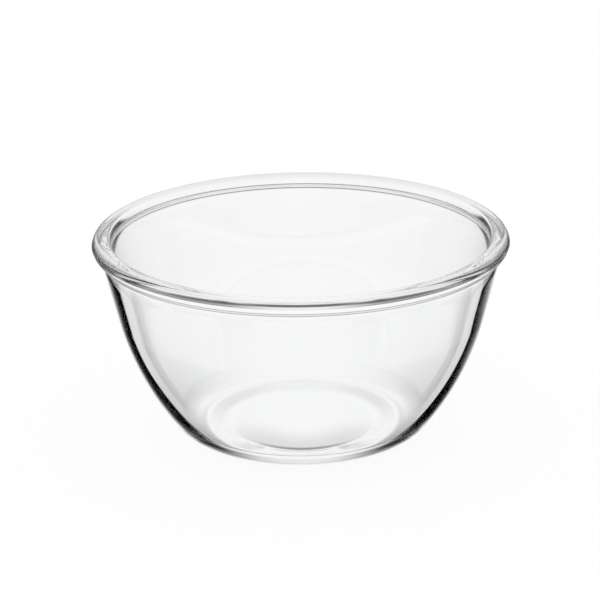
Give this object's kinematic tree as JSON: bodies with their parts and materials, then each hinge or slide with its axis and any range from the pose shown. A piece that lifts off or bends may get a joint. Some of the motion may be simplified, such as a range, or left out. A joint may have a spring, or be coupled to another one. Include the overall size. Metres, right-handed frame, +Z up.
{
  "type": "prep bowl",
  "caption": "Round clear pressed-glass prep bowl with a flat-topped beaded rim, a curved flaring wall and a rounded bottom on a small flat foot, for holding and mixing ingredients.",
  "frame": {"origin": "centre of the foot, on the surface that the bowl stands on", "axes": "+Z up along the bowl's axis of revolution; X and Y are any two level directions"},
  "size_m": [0.165, 0.165, 0.0828],
  "materials": {
    "clear_glass": "clear, fire-polished"
  },
  "bodies": {
    "root": {"glass_bowl": "clear_glass"}
  },
  "joints": []
}
